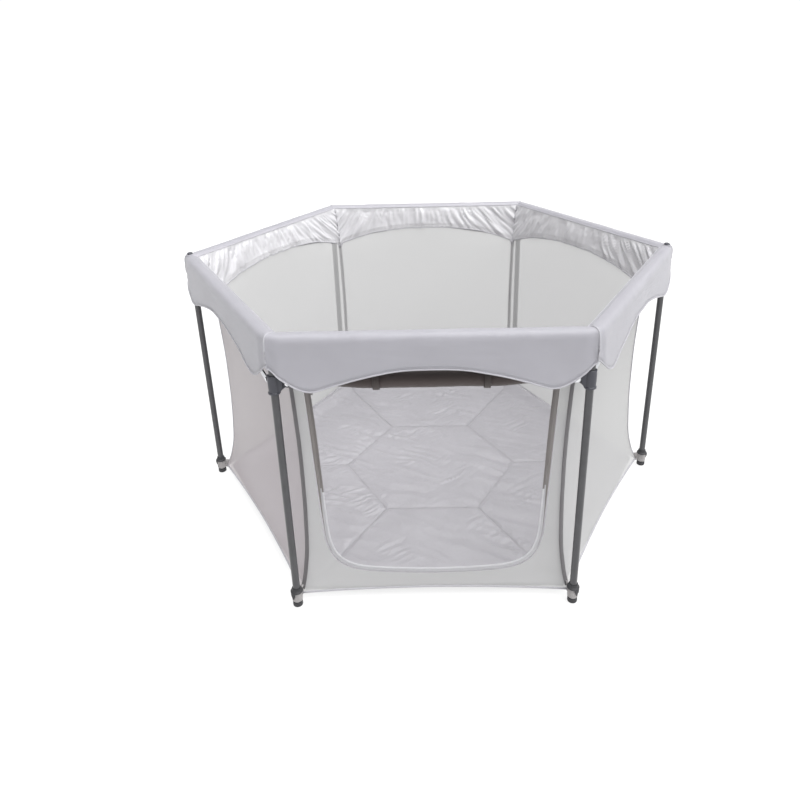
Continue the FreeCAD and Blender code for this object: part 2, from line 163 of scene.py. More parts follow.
def base_material(name, color, rough, metal=0.0, sheen=0.0, spec=0.5, alpha=1.0, coat=0.0):
    m = bpy.data.materials.new(name)
    m.use_nodes = True
    b = m.node_tree.nodes["Principled BSDF"]
    b.inputs["Base Color"].default_value = (*color, 1)
    b.inputs["Roughness"].default_value = rough
    b.inputs["Metallic"].default_value = metal
    b.inputs["Specular IOR Level"].default_value = spec
    if sheen:
        b.inputs["Sheen Weight"].default_value = sheen
        b.inputs["Sheen Roughness"].default_value = 0.35
    if coat:
        b.inputs["Coat Weight"].default_value = coat
        b.inputs["Coat Roughness"].default_value = 0.25
    if alpha < 1:
        b.inputs["Alpha"].default_value = alpha
    return m, m.node_tree, b


def node(tree, kind, **values):
    n = tree.nodes.new(kind)
    for key, v in values.items():
        if key in n.inputs:
            n.inputs[key].default_value = v
        else:
            setattr(n, key, v)
    return n


def math_node(tree, op, a=None, b=None):
    n = tree.nodes.new("ShaderNodeMath")
    n.operation = op
    for i, v in enumerate((a, b)):
        if v is None:
            continue
        if isinstance(v, (int, float)):
            n.inputs[i].default_value = v
        else:
            tree.links.new(v, n.inputs[i])
    return n.outputs[0]


def mottled(tree, bsdf, color, spread, scale, coords, detail=3.0):
    """The colour, a little lighter and darker over the surface."""
    tex = node(tree, "ShaderNodeTexNoise", Scale=scale, Detail=detail, Roughness=0.55)
    tree.links.new(coords, tex.inputs["Vector"])
    ramp = tree.nodes.new("ShaderNodeValToRGB")
    lo = tuple(max(0, c * (1 - spread)) for c in color)
    hi = tuple(min(1, c * (1 + spread)) for c in color)
    ramp.color_ramp.elements[0].position = 0.3
    ramp.color_ramp.elements[0].color = (*lo, 1)
    ramp.color_ramp.elements[1].position = 0.7
    ramp.color_ramp.elements[1].color = (*hi, 1)
    links(tree, tex, "Fac", ramp, "Fac")
    return ramp.outputs["Color"]


def weave(tree, uv, pitch_mm):
    """Height of a plain weave: threads over and under each other, pitch_mm apart."""
    sep = tree.nodes.new("ShaderNodeSeparateXYZ")
    tree.links.new(uv, sep.inputs[0])
    f = 2 * math.pi / (pitch_mm * MM)
    sx = math_node(tree, "SINE", math_node(tree, "MULTIPLY", sep.outputs[0], f))
    sy = math_node(tree, "SINE", math_node(tree, "MULTIPLY", sep.outputs[1], f))
    return math_node(tree, "MULTIPLY", sx, sy)


def fabric(name, color, rough, sheen, pitch=0.7, spread=0.03, stitches=True, weave_height=0.00006, puckers=0.0, spec=0.45, alpha=1.0):
    m, tree, b = base_material(name, color, rough, sheen=sheen, spec=spec, alpha=alpha)
    uv = node(tree, "ShaderNodeUVMap", uv_map="cloth").outputs["UV"]
    obj = tree.nodes.new("ShaderNodeTexCoord").outputs["Object"]
    col = mottled(tree, b, color, spread, 9.0, obj)
    height = math_node(tree, "MULTIPLY", weave(tree, uv, pitch), weave_height)
    if puckers:
        tex = node(tree, "ShaderNodeTexNoise", Scale=70.0, Detail=2.0, Roughness=0.5)
        tree.links.new(obj, tex.inputs["Vector"])
        height = math_node(tree, "ADD", height, math_node(tree, "MULTIPLY", tex.outputs["Fac"], puckers))
    if stitches:
        # a line of short threads wherever the mesh says that the nearest seam is 0 mm away
        seam = node(tree, "ShaderNodeAttribute", attribute_name="seam").outputs["Fac"]
        near = math_node(tree, "LESS_THAN", math_node(tree, "ABSOLUTE", seam), 0.75)
        sep = tree.nodes.new("ShaderNodeSeparateXYZ")
        tree.links.new(uv, sep.inputs[0])
        dash = math_node(
            tree, "GREATER_THAN",
            math_node(tree, "SINE", math_node(tree, "MULTIPLY", sep.outputs[0], 2 * math.pi / 0.0038)), -0.35,
        )
        thread = math_node(tree, "MULTIPLY", near, dash)
        groove = math_node(tree, "LESS_THAN", math_node(tree, "ABSOLUTE", seam), 1.9)
        height = math_node(tree, "ADD", height, math_node(tree, "MULTIPLY", groove, -0.0005))
        height = math_node(tree, "ADD", height, math_node(tree, "MULTIPLY", thread, 0.0006))
        # painted shade: in the seam's groove the colour is mixed a little towards a darker copy, for the shade that
        # falls in it
        mix = tree.nodes.new("ShaderNodeMix")
        mix.data_type = "RGBA"
        tree.links.new(math_node(tree, "MULTIPLY", groove, 0.14), mix.inputs[0])
        tree.links.new(col, mix.inputs[6])
        mix.inputs[7].default_value = (*[c * 0.55 for c in color], 1)
        col = mix.outputs[2]
    tree.links.new(col, b.inputs["Base Color"])
    bump = node(tree, "ShaderNodeBump", Strength=1.0, Distance=1.0)
    tree.links.new(height, bump.inputs["Height"])
    tree.links.new(bump.outputs["Normal"], b.inputs["Normal"])
    return m


def net(name, color, alpha, pitch=1.6):
    """Fine tulle: see-through, with its threads as bump and a little colour."""
    m, tree, b = base_material(name, color, 0.75, sheen=0.15, spec=0.2, alpha=alpha)
    # scattered light from behind the net
    b.inputs["Emission Color"].default_value = (*color, 1)
    b.inputs["Emission Strength"].default_value = 0.22
    uv = node(tree, "ShaderNodeUVMap", uv_map="cloth").outputs["UV"]
    vor = node(tree, "ShaderNodeTexVoronoi", Scale=1.0 / (pitch * MM), Randomness=0.25)
    vor.feature = "DISTANCE_TO_EDGE"
    tree.links.new(uv, vor.inputs["Vector"])
    ramp = tree.nodes.new("ShaderNodeValToRGB")
    ramp.color_ramp.elements[0].position = 0.06
    ramp.color_ramp.elements[0].color = (*[min(1, c * 1.10) for c in color], 1)
    ramp.color_ramp.elements[1].position = 0.16
    ramp.color_ramp.elements[1].color = (*[c * 0.93 for c in color], 1)
    links(tree, vor, "Distance", ramp, "Fac")
    tree.links.new(ramp.outputs["Color"], b.inputs["Base Color"])
    bump = node(tree, "ShaderNodeBump", Strength=0.5, Distance=0.0002)
    links(tree, vor, "Distance", bump, "Height")
    bump.invert = True
    tree.links.new(bump.outputs["Normal"], b.inputs["Normal"])
    return m


def hard(name, color, rough, metal=0.0, grain=900.0, depth=0.00004, spread=0.06, rough_spread=0.08, spec=0.5, coat=0.0, stretch=(1, 1, 1)):
    """Paint, plastic, rubber or metal: fine grain, uneven gloss and slight wear."""
    m, tree, b = base_material(name, color, rough, metal=metal, spec=spec, coat=coat)
    obj = tree.nodes.new("ShaderNodeTexCoord").outputs["Object"]
    mp = node(tree, "ShaderNodeMapping", Scale=stretch)
    tree.links.new(obj, mp.inputs["Vector"])
    col = mottled(tree, b, color, spread, 40.0, mp.outputs["Vector"], 5.0)
    tree.links.new(col, b.inputs["Base Color"])
    fine = node(tree, "ShaderNodeTexNoise", Scale=grain, Detail=2.0, Roughness=0.6)
    tree.links.new(mp.outputs["Vector"], fine.inputs["Vector"])
    patch = node(tree, "ShaderNodeTexNoise", Scale=22.0, Detail=4.0, Roughness=0.6)
    tree.links.new(obj, patch.inputs["Vector"])
    r = math_node(tree, "MULTIPLY", math_node(tree, "SUBTRACT", patch.outputs["Fac"], 0.5), 2 * rough_spread)
    tree.links.new(math_node(tree, "ADD", r, rough), b.inputs["Roughness"])
    bump = node(tree, "ShaderNodeBump", Strength=1.0, Distance=depth)
    links(tree, fine, "Fac", bump, "Height")
    tree.links.new(bump.outputs["Normal"], b.inputs["Normal"])
    return m


SATIN = fabric("rim_satin", (0.335, 0.33, 0.362), 0.38, 0.15, pitch=0.6, spec=0.5)
# painted light: the lining's satin is a much lighter copy of the outer satin, for the extra light the lining gets
# inside the pen
SATIN_IN = fabric("rim_lining_satin", (0.60, 0.595, 0.615), 0.33, 0.12, pitch=0.5, spec=0.6, puckers=0.0006)
PIPING = fabric("edge_piping", (0.39, 0.385, 0.415), 0.5, 0.2, pitch=0.9, stitches=False)
SEAM = fabric("rim_seam_piping", (0.41, 0.405, 0.435), 0.45, 0.2, pitch=0.9, stitches=False)
HEM = fabric("hem_tape", (0.36, 0.355, 0.38), 0.6, 0.2, pitch=0.9, stitches=False)
BINDING = fabric("corner_binding", (0.150, 0.143, 0.150), 0.7, 0.2, pitch=1.0, stitches=False, weave_height=0.00015)
# painted light and shade: walls 3, 5 and 6 get lighter or darker copies of the one net colour, for how each wall is
# lit; wall 6's copy is also tinted pink
NET_LIGHT_AND_SHADE_TONES = {3: (0.425, 0.425, 0.425), 5: (0.345, 0.345, 0.345), 6: (0.365, 0.333, 0.344)}
TULLES = {k: net("wall_tulle_%d" % k, NET_LIGHT_AND_SHADE_TONES.get(k, (0.385, 0.385, 0.385)), 0.75) for k in range(1, 7)}
MAT = fabric("mat_satin", (0.295, 0.288, 0.307), 0.36, 0.15, pitch=0.6, puckers=0.0010, spec=0.55)
MAT_UNDER = fabric("mat_underside", (0.20, 0.20, 0.21), 0.7, 0.2, pitch=1.0, stitches=False)
ROLL = fabric("rolled_mesh", (0.075, 0.058, 0.055), 0.75, 0.35, pitch=1.6, stitches=False, weave_height=0.0003, spread=0.10)
TAPE = fabric("zip_tape_cloth", (0.42, 0.415, 0.435), 0.5, 0.2, pitch=0.8, stitches=False)
FACING = fabric("door_facing", (0.20, 0.185, 0.18), 0.65, 0.2, pitch=0.9, stitches=False)
WEBBING = fabric("webbing", (0.36, 0.345, 0.345), 0.65, 0.2, pitch=1.2, stitches=True, weave_height=0.00018)
TIE = fabric("tie_webbing", (0.062, 0.05, 0.047), 0.65, 0.2, pitch=1.2, stitches=True, weave_height=0.00018)
TEETH = hard("zip_teeth", (0.58, 0.58, 0.60), 0.35, grain=1500, depth=0.00001, spread=0.03)
PAINT = hard("leg_paint", (0.062, 0.062, 0.066), 0.36, metal=0.35, grain=700, depth=0.00003, spread=0.10, coat=0.3)
PLASTIC = hard("bracket_plastic", (0.045, 0.046, 0.058), 0.46, grain=1400, depth=0.00006, spread=0.08)
RUBBER = hard("foot_rubber", (0.03, 0.03, 0.033), 0.62, grain=500, depth=0.00010, spread=0.15)
STEEL = hard("bar_steel", (0.50, 0.51, 0.53), 0.32, metal=1.0, grain=900, depth=0.00002, spread=0.05, stretch=(1, 1, 0.1))
RIVET = hard("rivet_steel", (0.72, 0.72, 0.74), 0.28, metal=1.0, grain=1200, depth=0.00001, spread=0.05)


# ------------------------------------------------------------------ mesh making


def make(name, verts, faces, mat, body, uv=None, seam=None, flat=False, mats=None, face_mat=None, normals=None):
    me = bpy.data.meshes.new(name)
    me.from_pydata([tuple(v) for v in verts], [], [tuple(f) for f in faces])
    me.materials.append(mat)
    for m in mats or ():
        me.materials.append(m)
    if face_mat is not None:
        me.polygons.foreach_set("material_index", np.asarray(face_mat, np.int32))
    layer = me.uv_layers.new(name="cloth")
    loops = np.zeros(len(me.loops), np.int32)
    me.loops.foreach_get("vertex_index", loops)
    if uv is None:
        co = np.array([tuple(v) for v in verts])
        uv = np.stack([co[:, 0] + co[:, 1] * 0.37, co[:, 2] + co[:, 1] * 0.61], 1)
    layer.data.foreach_set("uv", np.asarray(uv, np.float32)[loops].ravel())
    a = me.attributes.new("seam", "FLOAT", "POINT")
    a.data.foreach_set("value", np.asarray(seam if seam is not None else [9.0] * len(me.vertices), np.float32))
    me.polygons.foreach_set("use_smooth", np.full(len(me.polygons), not flat))
    me.update()
    if normals is not None:
        me.normals_split_custom_set_from_vertices([tuple(v) for v in normals])
    o = bpy.data.objects.new(name, me)
    bpy.context.scene.collection.objects.link(o)
    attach(o, body)
    return o


def grid_normals(points, flip=False):
    du = np.gradient(points, axis=1)
    dv = np.gradient(points, axis=0)
    n = np.cross(du, dv)
    n /= np.maximum(np.linalg.norm(n, axis=2, keepdims=True), 1e-12)
    return -n if flip else n


def grid_faces(rows, cols, first=0, flip=False, wrap=False):
    out = []
    for i in range(rows - 1):
        for j in range(cols if wrap else cols - 1):
            a, b = first + i * cols + j, first + i * cols + (j + 1) % cols
            c, d = b + cols, a + cols
            out.append((a, d, c, b) if flip else (a, b, c, d))
    return out


def push(points, amounts, flip=False):
    """Moves a grid of points (rows, cols, 3) along its own normals."""
    du = np.gradient(points, axis=1)
    dv = np.gradient(points, axis=0)
    n = np.cross(du, dv)
    n /= np.maximum(np.linalg.norm(n, axis=2, keepdims=True), 1e-12)
    return points + n * amounts[..., None] * (-1 if flip else 1)


def tube(name, line, radii, mat, body, sides=10, squeeze=1.0, up=None, twist=0.0):
    """A closed tube along a line in metres. radii is one number or one for each point, in metres; squeeze flattens it across up."""
    p = np.asarray(line, float)
    n = len(p)
    r = np.broadcast_to(np.asarray(radii, float), (n,))
    t = np.gradient(p, axis=0)
    t /= np.linalg.norm(t, axis=1, keepdims=True)
    ref = np.array(up if up is not None else (0, 0, 1.0), float)
    verts, uv = [], []
    length = np.r_[0, np.cumsum(np.linalg.norm(np.diff(p, axis=0), axis=1))]
    prev = None
    for i in range(n):
        u = ref - t[i] * (ref @ t[i])
        if np.linalg.norm(u) < 1e-6:
            u = prev if prev is not None else np.cross(t[i], (1.0, 0.3, 0.2))
        u /= np.linalg.norm(u)
        prev = u
        w = np.cross(t[i], u)
        for s in range(sides):
            a = 2 * math.pi * s / sides + twist * length[i]
            verts.append(p[i] + r[i] * (u * math.cos(a) + w * math.sin(a) * squeeze))
            uv.append((length[i], s / sides * 2 * math.pi * r[i]))
    faces = grid_faces(n, sides, wrap=True)
    for end, i in ((0, 0), (1, n - 1)):
        verts.append(p[i])
        uv.append((length[i], 0))
        c = len(verts) - 1
        for s in range(sides):
            a, b = i * sides + s, i * sides + (s + 1) % sides
            faces.append((c, b, a) if end == 0 else (c, a, b))
    return make(name, verts, faces, mat, body, uv=uv)


def lathe(name, profile, where, mat, body, sides=40, bend=None):
    """Turns a closed profile of (r, z) millimetres round a vertical axis; where(r cos, r sin, z) gives metres."""
    n = len(profile)
    verts, uv = [], []
    for s in range(sides):
        a = 2 * math.pi * s / sides
        for r, z in profile:
            if bend:
                r, z = bend(r, z, a)
            verts.append(where(r * math.cos(a), r * math.sin(a), z))
            uv.append((a * 0.014, z * MM))
    faces = []
    for s in range(sides):
        for i in range(n):
            a, b = s * n + i, s * n + (i + 1) % n
            c, d = ((s + 1) % sides) * n + (i + 1) % n, ((s + 1) % sides) * n + i
            faces.append((a, d, c, b))
    return make(name, verts, faces, mat, body, uv=uv)


def crush(o):
    """Gives a soft piece its own copy of its mesh."""
    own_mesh(o)
    return o


def area_of(o):
    return sum(p.area for p in o.data.polygons)


# ------------------------------------------------------------------ the cover over the rim

OUTER_EDGE = table([(0, 596), (60, 594), (120, 583), (187, 566), (232, 555), (262, 562), (290, 580), (312, 597), (340, 612)])
INNER_EDGE = table([(0, 598), (66, 597), (120, 592), (175, 584), (230, 569), (281, 552), (310, 541), (340, 530)])


LINING_TOP = 662.0
CUFF = 34.0  # the part of a cover beside each leg that keeps its shape when the pen folds


def lining_y(z):
    """How far inwards the inner skirt hangs at height z."""
    d = max(0.0, LINING_TOP - z)
    return 15.5 + 9.0 * (1 - math.exp(-d / 14.0)) + 0.16 * d


def rim_cover(k):
    cols = 132
    # rows by their place: outer skirt from its edge up, over the top, then down the lining to its hem
    out_rows = [0, 2.2, 4.4, 7] + list(np.linspace(12, 100, 14))
    outer = [("out", d) for d in out_rows]
    over = [("top", a) for a in np.linspace(0, 1, 16)[1:]]
    inner_share = [("in", s) for s in np.linspace(0, 1, 40)[1:]]
    rows = outer + over + inner_share
    pts = np.zeros((len(rows), cols, 3))
    puff = np.zeros((len(rows), cols))
    seam = np.full((len(rows), cols), 9.0)
    uvs = np.zeros((len(rows), cols, 2))
    gap = 0.25
    left = round((1 - (HALF - CUFF) / (HALF + 20 * T30)) / 2 * (cols - 1))
    right = cols - 1 - left
    reach = 2 * right / (cols - 1) - 1

    def across(j, y):
        # even columns between the two end parts, which stretch on to the corner plane
        s = 2 * j / (cols - 1) - 1
        if abs(s) <= reach + 1e-9:
            return s / reach * (HALF - CUFF) + 0 * y
        inner = HALF - CUFF
        out = inner + (abs(s) - reach) / (1 - reach) * (HALF - y * T30 - gap - inner)
        return math.copysign(1, s) * out

    for j in range(cols):
        x0 = across(j, -20.0)
        ax = abs(x0)
        zo = OUTER_EDGE(min(ax, 318)) + (0 if k == 1 else 5)
        zi = INNER_EDGE(min(ax, HALF))
        lobe = bell(ax - 236, 62)
        corner = step(34, 0, (HALF + 20 * T30) - ax)
        for i, (part, v) in enumerate(rows):
            if part == "out":
                z = min(zo + v * (646 - zo) / 100.0, 646)
                down = (646 - z) / 90.0
                y = -(18.2 + 2.6 * down + (6.0 if k == 1 else 2.0) * lobe * down**1.6) * (1 - 0.30 * corner) + 2.0 * corner * down
                away = z - zo
                seam[i, j] = away - 5.2 if abs(away - 5.2) < 4 else 9
                # broad, soft ripples that grow towards the free edge, and short puckers beside the corner seams
                puff[i, j] = (
                    2.0 * n3(x0 / 105, z / 90, k * 7.3) * (0.35 + down)
                    + 0.9 * n3(x0 / 34, z / 60, k * 3.1) * down
                    + 0.5 * n3(x0 / 60 + z / 25, z / 14, k * 6.1)
                    + step(24, 0, away) * 0.8 * n3(x0 / 9, away / 18, k * 2.9)
                    + corner * 1.6 * n3(x0 / 14, z / 13 + x0 / 25, k * 1.7)
                    - corner * 0.8
                )
            elif part == "top":
                # a rounded foam band, from the outer shoulder over to the lining's seam
                a = math.pi * (1 - v * 0.80)
                c, h = math.cos(a), math.sin(a)
                e = 0.72
                y = 18.2 * math.copysign(abs(c) ** e, c) * (1 - 0.30 * corner)
                z = 646 + 23.2 * abs(h) ** e
                if v > 0.8:
                    t = (v - 0.8) / 0.2
                    y += (15.5 - y) * t
                    z += (LINING_TOP - z) * t
                seam[i, j] = 9
                puff[i, j] = (0.7 * n3(x0 / 70, y / 30, k * 5.5) + 0.45 * n3(x0 / 22, y / 14, k * 2.5)) * step(1.0, 0.85, v) - corner * 0.6
                if v > 0.9:
                    puff[i, j] -= 0.8
            else:
                z = LINING_TOP - v * (LINING_TOP - zi)
                y = lining_y(z)
                d = LINING_TOP - z
                hem = z - zi
                seam[i, j] = d - 1.5 if d < 5 else (hem - 6 if abs(hem - 6) < 3 else (hem - 12 if abs(hem - 12) < 3 else 9))
                xr = across(j, y)
                s = xr / HALF
                slant = -0.95 * step(0.15, -0.9, s) + 0.6 * step(0.25, 1.0, s)
                c = xr - slant * d + 7 * n3(xr / 60, d / 60, k * 4.2)
                crease = 1 - abs(2.3 * n3(c / 13.0, d / 85, k * 9.1))
                second = 1 - abs(2.3 * n3(c / 7.0 + 9, d / 45, k * 5.3))
                broad = n3(c / 32, d / 80, k * 2.2)
                wet = step(0, 14, d) * (0.5 + 0.5 * step(0, 20, hem))
                puff[i, j] = wet * (4.2 * (crease - 0.45) + 1.5 * (second - 0.5) + 4.0 * broad)
                puff[i, j] += step(20, 0, hem) * 1.4 * n3(c / 5.5, hem / 20, k) + 2.0 * wet
                puff[i, j] -= corner * 1.5
                if d < 5:
                    puff[i, j] -= 1.0 * bell(d - 1.5, 2.0)
            x = across(j, y)
            pts[i, j] = (x, y, z)
            uvs[i, j] = (x * MM, i * 0.004)
    pts = push(pts, puff, flip=True)
    # neighbours stay on their own side of the corner plane
    inner = HALF - CUFF
    pts[:, left + 1 : right, 0] = np.clip(pts[:, left + 1 : right, 0], 0.5 - inner, inner - 0.5)
    for j in [*range(left + 1), *range(right, cols)]:
        pts[:, j, 0] = across(j, pts[:, j, 1])
    pts[..., 2] = np.minimum(pts[..., 2], 672)
    seg = np.linalg.norm(np.diff(pts, axis=0), axis=2).mean(1)
    uvs[..., 1] = (np.r_[0, np.cumsum(seg)] * MM)[:, None]
    split = len(outer) + len(over) - 1
    world = np.array([on_side(k, *p) for p in pts.reshape(-1, 3)]).reshape(pts.shape)
    normals = grid_normals(world)
    # the corner of the lowest row outside has to face outwards
    _, _, inward = side_axes(k)
    if normals[8, cols // 2] @ np.array(inward) > 0:
        normals = -normals
    # three parts: each end belongs to its leg, and the middle goes with leg k
    parts = [
        ("rim_corner_on_%d" % k, 0, left + 1, "leg_%d_body" % k),
        ("rim_cover_%d" % k, left, right + 1, "leg_%d_body" % k),
        ("rim_corner_back_%d" % k, right, cols, "leg_%d_body" % (k % 6 + 1)),
    ]
    made = []
    for name, a, b, body in parts:
        w = b - a
        faces = grid_faces(len(rows), w)
        face_mat = [0 if n // (w - 1) < split else 1 for n in range(len(faces))]
        made.append(
            make(
                name, world[:, a:b].reshape(-1, 3), faces, SATIN, body,
                uv=uvs[:, a:b].reshape(-1, 2), seam=seam[:, a:b].ravel(), mats=[SATIN_IN], face_mat=face_mat,
                normals=normals[:, a:b].reshape(-1, 3),
            )
        )

        def trim(name, row, radius, mat, step_mm=4):
            line = [on_side(k, *p) for p in resample(row[a:b], step_mm)]
            t = tube(name, line, radius * MM, mat, body, sides=8)
            return t

        tag = name[4:]
        made.append(
            [
                trim("rim_piping_" + tag, pts[0], 1.7, PIPING),
                trim("lining_hem_" + tag, pts[-1], 1.5, HEM),
                trim("lining_welt_" + tag, pts[split], 1.2, PIPING),
            ]
        )
    o = made[2]
    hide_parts("rim_%d" % k)
    # the narrow piped seam that joins two covers at leg k, over the corner from edge to edge
    line = resample([at_corner(k, (-p[1]) / C30, 0, p[2]) for p in pts[:, 0]], 0.004)
    joint = tube("rim_seam_%d" % k, line, 1.6 * MM, SEAM, "leg_%d_body" % k, sides=8, up=(0, 0, 1))

    for piece in (o, *made[3]):
        crush(piece)
    return pts


RIMS = {k: rim_cover(k) for k in range(1, 7)}

# ------------------------------------------------------------------ mesh walls

CORNER_IN = table([(20, 14), (28, 18), (45, 25), (63, 31), (110, 41), (170, 46), (230, 49), (280, 50), (380, 50), (480, 46), (546, 41), (601, 28), (660, 18)])
WALL_FOOT = 23.0


def wall_y(x, z):
    """How far inwards a mesh wall stands: pulled in at the corners, straighter in the middle of the side."""
    c = CORNER_IN(z)
    zh = INNER_EDGE(min(abs(x), HALF))
    m = lining_y(zh) - 1.5 + (27.5 - lining_y(zh)) * step(zh, WALL_FOOT, z)
    t = (zh - z) / (zh - WALL_FOOT)
    m += 9 * math.sin(math.pi * min(1, max(0, t)))
    w = min(1.0, abs(x) / (HALF - c * T30)) ** 1.7
    return c * w + m * (1 - w)


def wall_point(x_share, z):
    """A point of a wall at a share of its width from -1 to 1."""
    x = x_share * (HALF - 40 * T30)
    for _ in range(3):
        y = wall_y(x, z)
        x = x_share * (HALF - y * T30 - 0.3)
    return x, wall_y(x, z), z


def foot_level(x):
    return WALL_FOOT - 2.5 * (abs(x) / HALF) ** 3


def wall_panel(k):
    rows, cols = 66, 60
    pts = np.zeros((rows, cols, 3))
    for j in range(cols):
        s = 2 * j / (cols - 1) - 1
        xh = wall_point(s, 560)[0]
        zh = INNER_EDGE(min(abs(xh), HALF)) + 3
        for i in range(rows):
            v = i / (rows - 1)
            z = foot_level(xh) + (zh - foot_level(xh)) * v
            x, y, z = wall_point(s, z)
            y += 1.2 * n3(x / 120, z / 150, k * 5.0) * math.sin(math.pi * v)
            pts[i, j] = (x, y, z)
    verts = [on_side(k, *p) for p in pts.reshape(-1, 3)]
    o = make("wall_mesh_%d" % k, verts, grid_faces(rows, cols, flip=True), TULLES[k], "leg_%d_body" % k, uv=pts.reshape(-1, 3)[:, [0, 2]] * MM)
    return o, pts


DOOR_LINE = [(-250, 575), (-249, 520), (-246, 450), (-241, 300), (-237, 205), (-230, 142), (-210, 103), (-170, 83), (-100, 76), (0, 73)]


def door_curve(grow):
    """The U of the door as points (x, z), grown outwards; it starts and ends under the lining's hem."""
    half = smooth(DOOR_LINE, 6)
    full = np.array(half + [(-x, z) for x, z in half[-2::-1]])
    full = resample(full, 6.0)
    d = np.gradient(full, axis=0)
    d /= np.linalg.norm(d, axis=1, keepdims=True)
    return full + np.stack([d[:, 1], -d[:, 0]], 1) * grow


def front_wall():
    inner = door_curve(13.0)
    n = len(inner)
    a = int(n * 0.33)
    b = n - a
    outer = []
    for i, (x, z) in enumerate(inner):
        if i < a:
            t = i / a
            outer.append((-1.0, 560 + (foot_level(300) - 560) * t))
        elif i < b:
            t = (i - a) / (b - a)
            outer.append((-1.0 + 2 * t, None))
        else:
            t = (i - b) / (n - 1 - b)
            outer.append((1.0, foot_level(300) + (560 - foot_level(300)) * t))
    across = 14
    pts = np.zeros((n, across, 3))
    for i in range(n):
        xi, zi = inner[i]
        share, zo = outer[i]
        if zo is None:
            xo, _, _ = wall_point(share, foot_level(share * HALF))
            zo = foot_level(xo)
        else:
            xo = wall_point(share, zo)[0]
        for j in range(across):
            t = j / (across - 1)
            x, z = xi + (xo - xi) * t, zi + (zo - zi) * t
            top = INNER_EDGE(min(abs(x), HALF)) + 3
            z = min(z, top)
            lim = HALF - wall_y(x, z) * T30 - 0.3
            x = max(-lim, min(lim, x))
            pts[i, j] = (x, wall_y(x, z), z)
    verts = [on_side(1, *p) for p in pts.reshape(-1, 3)]
    return make("wall_mesh_1", verts, grid_faces(n, across), TULLES[1], "leg_1_body", uv=pts.reshape(-1, 3)[:, [0, 2]] * MM), pts


def corner_line(z, k):
    """The line where two walls meet at corner k, as a distance from the leg towards the middle."""
    return -CORNER_IN(z) / C30


WALLS = {}
for k in range(1, 7):
    body = "leg_%d_body" % k
    if k == 1:
        o, pts = front_wall()
    else:
        o, pts = wall_panel(k)
    WALLS[k] = o
    # the net is so open that nearly all the light passes through it, straight or scattered
    o.visible_shadow = False
    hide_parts("wall_%d" % k)
    # the hem along the ground: a pale welt
    xs = np.linspace(-1, 1, 90)
    low = []
    for s in xs:
        x, y, z = wall_point(s, WALL_FOOT)
        low.append(on_side(k, x, wall_y(x, foot_level(x)), foot_level(x)))
    hem = tube("wall_hem_%d" % k, low, 2.3 * MM, HEM, body, sides=10)
    # the binding over the corner seam at leg k
    zs = np.linspace(30, 556, 70)
    line = [at_corner(k, corner_line(z, k) + (1.6 if k not in (3, 6) else 0.9), 0.5 * n3(z / 60, k), z) for z in zs]
    out = CORNER[k - 1].normalized()
    if k in (3, 6):
        # the two side corners only have a narrow seam
        bind = tube("corner_binding_%d" % k, line, 1.3 * MM, PIPING, body, sides=10, up=(-out.y, out.x, 0))
    else:
        wide = [(5.6 + 0.3 * n3(z / 25, k * 2.0)) * MM for z in zs]
        bind = tube("corner_binding_%d" % k, line, wide, BINDING, body, sides=14, squeeze=0.24, up=(-out.y, out.x, 0))
    if k == 1:
        # the middle line of the U
        middle = pts[:, pts.shape[1] // 2]
    crush(o)
    crush(hem)

# ------------------------------------------------------------------ the door: tape, teeth and the rolled flap


def strip(name, a, b, mat, lift=0.0, thick=0.6, above=0):
    """A flat strip of the front wall between two growths of the door's U, thick mm thick, in front of the wall by lift.
    a and b give the growth at each height."""
    one, two = door_curve(0.0), door_curve(1.0)
    n = len(one)
    along = np.r_[0, np.cumsum(np.linalg.norm(np.diff(one, axis=0), axis=1))] * MM
    across = 5
    front, back, uv = [], [], []
    for i in range(n):
        ga, gb = a(one[i][1]), b(one[i][1])
        for j in range(across):
            t = j / (across - 1)
            g = ga + (gb - ga) * t
            x, z = one[i] + (two[i] - one[i]) * g
            z = min(z, INNER_EDGE(min(abs(x), HALF)) + 3)
            y = wall_y(x, z) - lift - 0.5 * math.sin(math.pi * t)
            front.append(on_side(1, x, y, z))
            back.append(on_side(1, x, y + thick, z))
            uv.append((along[i], g * MM))
    shown = [i for i in range(n) if one[i][1] > above]
    runs = [shown] if not above else [[i for i in shown if i < n / 2], [i for i in shown if i > n / 2]]
    verts, uvs, faces = [], [], []
    for run in runs:
        first, m = len(verts), len(run) * across
        for skin in (front, back):
            for i in run:
                verts += skin[i * across : (i + 1) * across]
                uvs += uv[i * across : (i + 1) * across]
        faces += grid_faces(len(run), across, first=first) + grid_faces(len(run), across, first=first + m, flip=True)
        for i in range(len(run) - 1):
            p, q = first + i * across, first + (i + 1) * across
            faces.append((p, q, m + q, m + p))
            p, q = p + across - 1, q + across - 1
            faces.append((q, p, m + p, m + q))
        for i, end in ((0, 1), (len(run) - 1, 0)):
            p = first + i * across
            ring = list(range(p, p + across)) + list(range(m + p + across - 1, m + p - 1, -1))
            faces.append(tuple(ring[::-1] if end else ring))
    high = [1 if max(verts[q][2] for q in f) > 0.285 else 0 for f in faces]
    return make(name, verts, faces, mat, "leg_1_body", uv=uvs, mats=[FACING], face_mat=high)


# the tape lies flat round the bottom of the door and turns edge-on up its sides, where its dark facing shows instead
tape = strip("zip_tape_strip", lambda z: 0.8, lambda z: 4.0 + 5.0 * step(330, 150, z), TAPE, lift=1.0)
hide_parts("zip_tape")
facing = strip("zip_facing", lambda z: 3.0 + 5.0 * step(420, 130, z), lambda z: 8.4 + 3.2 * step(150, 420, z), FACING, lift=1.4, thick=1.2, above=118)

